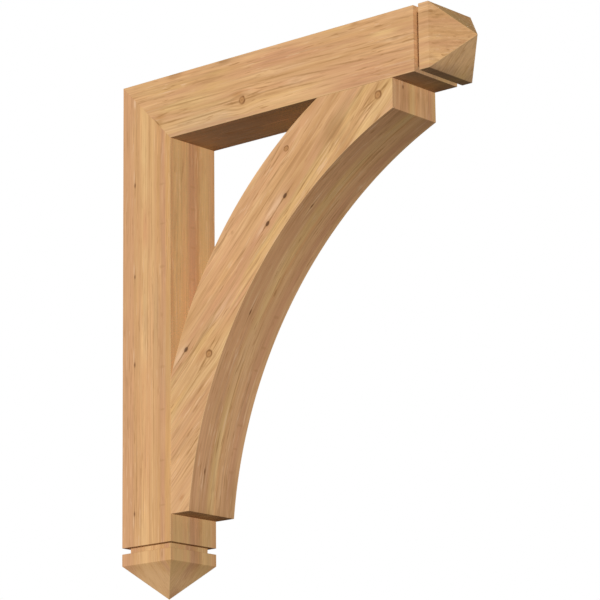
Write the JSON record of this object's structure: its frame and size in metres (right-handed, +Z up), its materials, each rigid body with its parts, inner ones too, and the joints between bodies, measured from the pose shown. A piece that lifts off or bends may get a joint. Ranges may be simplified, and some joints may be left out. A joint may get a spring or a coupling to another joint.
{
  "type": "wooden corbel bracket",
  "caption": "Timber corbel bracket: an upright wall post mitred to an overhanging beam, both ending in a groove and a point, stiffened by a curved brace. Carries an eave, gable or shelf.",
  "frame": {"origin": "on the wall face of the post, at mid-width and halfway down the plain part of that face", "axes": "+X away from the wall along the beam, +Y across the timbers, +Z up"},
  "size_m": [0.9144, 0.1396, 1.1176],
  "materials": {
    "post_timber": "planed softwood, unfinished and matt, straight vertical grain with small dark knots",
    "beam_timber": "planed softwood, unfinished and matt, gently waving grain along the beam with ring knots",
    "brace_timber": "planed softwood, unfinished and matt, straight grain along the brace that runs out at its sawn curves"
  },
  "bodies": {
    "root": {"wall_post": "post_timber", "top_beam": "beam_timber", "curved_brace": "brace_timber"}
  },
  "joints": []
}
